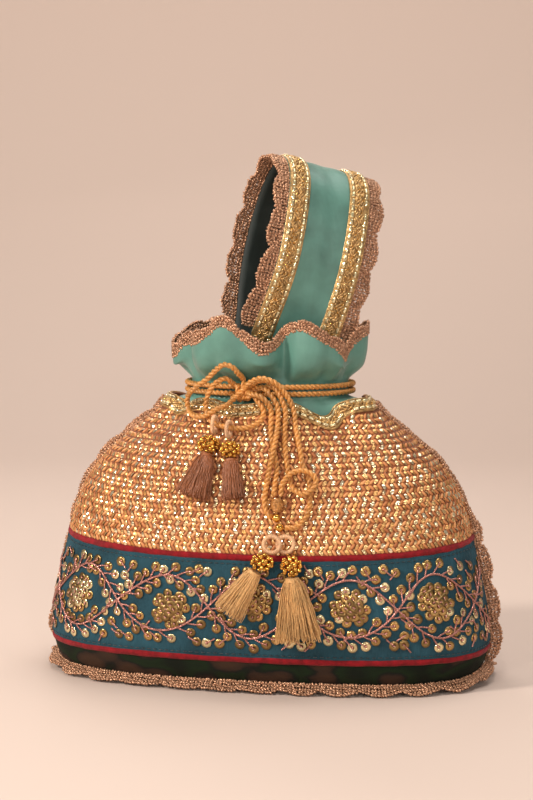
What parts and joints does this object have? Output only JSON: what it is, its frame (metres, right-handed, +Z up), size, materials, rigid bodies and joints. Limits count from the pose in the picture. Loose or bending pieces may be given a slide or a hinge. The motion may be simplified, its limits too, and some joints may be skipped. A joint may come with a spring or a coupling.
{
  "type": "potli bag",
  "caption": "Oval-based drawstring pouch of woven metallic cloth with an embroidered band, a satin frill, a wrist handle and a cord tied in a bow with tassels.",
  "frame": {"origin": "middle of the flat oval base, on the floor", "axes": "+Z up, -Y towards the front with the bow, +X towards the right-hand side seam as seen from the front"},
  "size_m": [0.2546, 0.1371, 0.2802],
  "materials": {
    "woven_cloth": "woven metallic ribbon cloth with bright gold flecks",
    "band_cloth": "teal cotton with sequins and bead-and-thread vines",
    "base_cloth": "dark green brocade",
    "piping": "red folded piping",
    "satin": "teal satin with a soft sheen",
    "lining": "dark green lining",
    "lace": "rose-copper metallic crochet lace",
    "braid": "gold braid edged with bar beads",
    "cord": "twisted golden cord",
    "beads": "small shiny gold beads",
    "tassel_brown": "brown silk thread",
    "tassel_pale": "pale gold thread",
    "satin_wrap": "satin thread wrapped tightly"
  },
  "bodies": {
    "root": {"base_wall_front": "base_cloth", "lower_trim_front": "piping", "upper_trim_front": "piping", "band_front": "band_cloth", "woven_panel_front": "woven_cloth", "neck_braid_front": "braid", "base_wall_back": "base_cloth", "lower_trim_back": "piping", "upper_trim_back": "piping", "band_back": "band_cloth", "woven_panel_back": "woven_cloth", "neck_braid_back": "braid", "base_panel": "base_cloth", "lining_pouch": "lining", "cuff": "satin", "cuff_lace": "lace", "side_lace_right": "lace", "side_lace_left": "lace", "base_lace": "lace", "handle_lining": "lining", "handle_satin": "satin", "handle_braid_right": "braid", "handle_braid_left": "braid", "handle_lace_right": "lace", "handle_lace_left": "lace", "bow_knot": "cord", "neck_cord_upper": "cord", "neck_cord_lower": "cord", "bow_loop_high": "cord", "bow_loop_low": "cord", "tail_outer": "cord", "tail_inner": "cord", "tail_curl": "cord", "tail_right": "cord", "tail_whipping": "cord", "cord_bead_upper": "beads", "cord_bead_lower": "beads", "tassel_loop_1": "satin_wrap", "tassel_cap_1": "beads", "tassel_skirt_1": "tassel_brown", "tassel_loop_2": "satin_wrap", "tassel_cap_2": "beads", "tassel_skirt_2": "tassel_brown", "tassel_loop_3": "satin_wrap", "tassel_cap_3": "beads", "tassel_skirt_3": "tassel_pale", "tassel_loop_4": "satin_wrap", "tassel_cap_4": "beads", "tassel_skirt_4": "tassel_pale"}
  },
  "joints": []
}
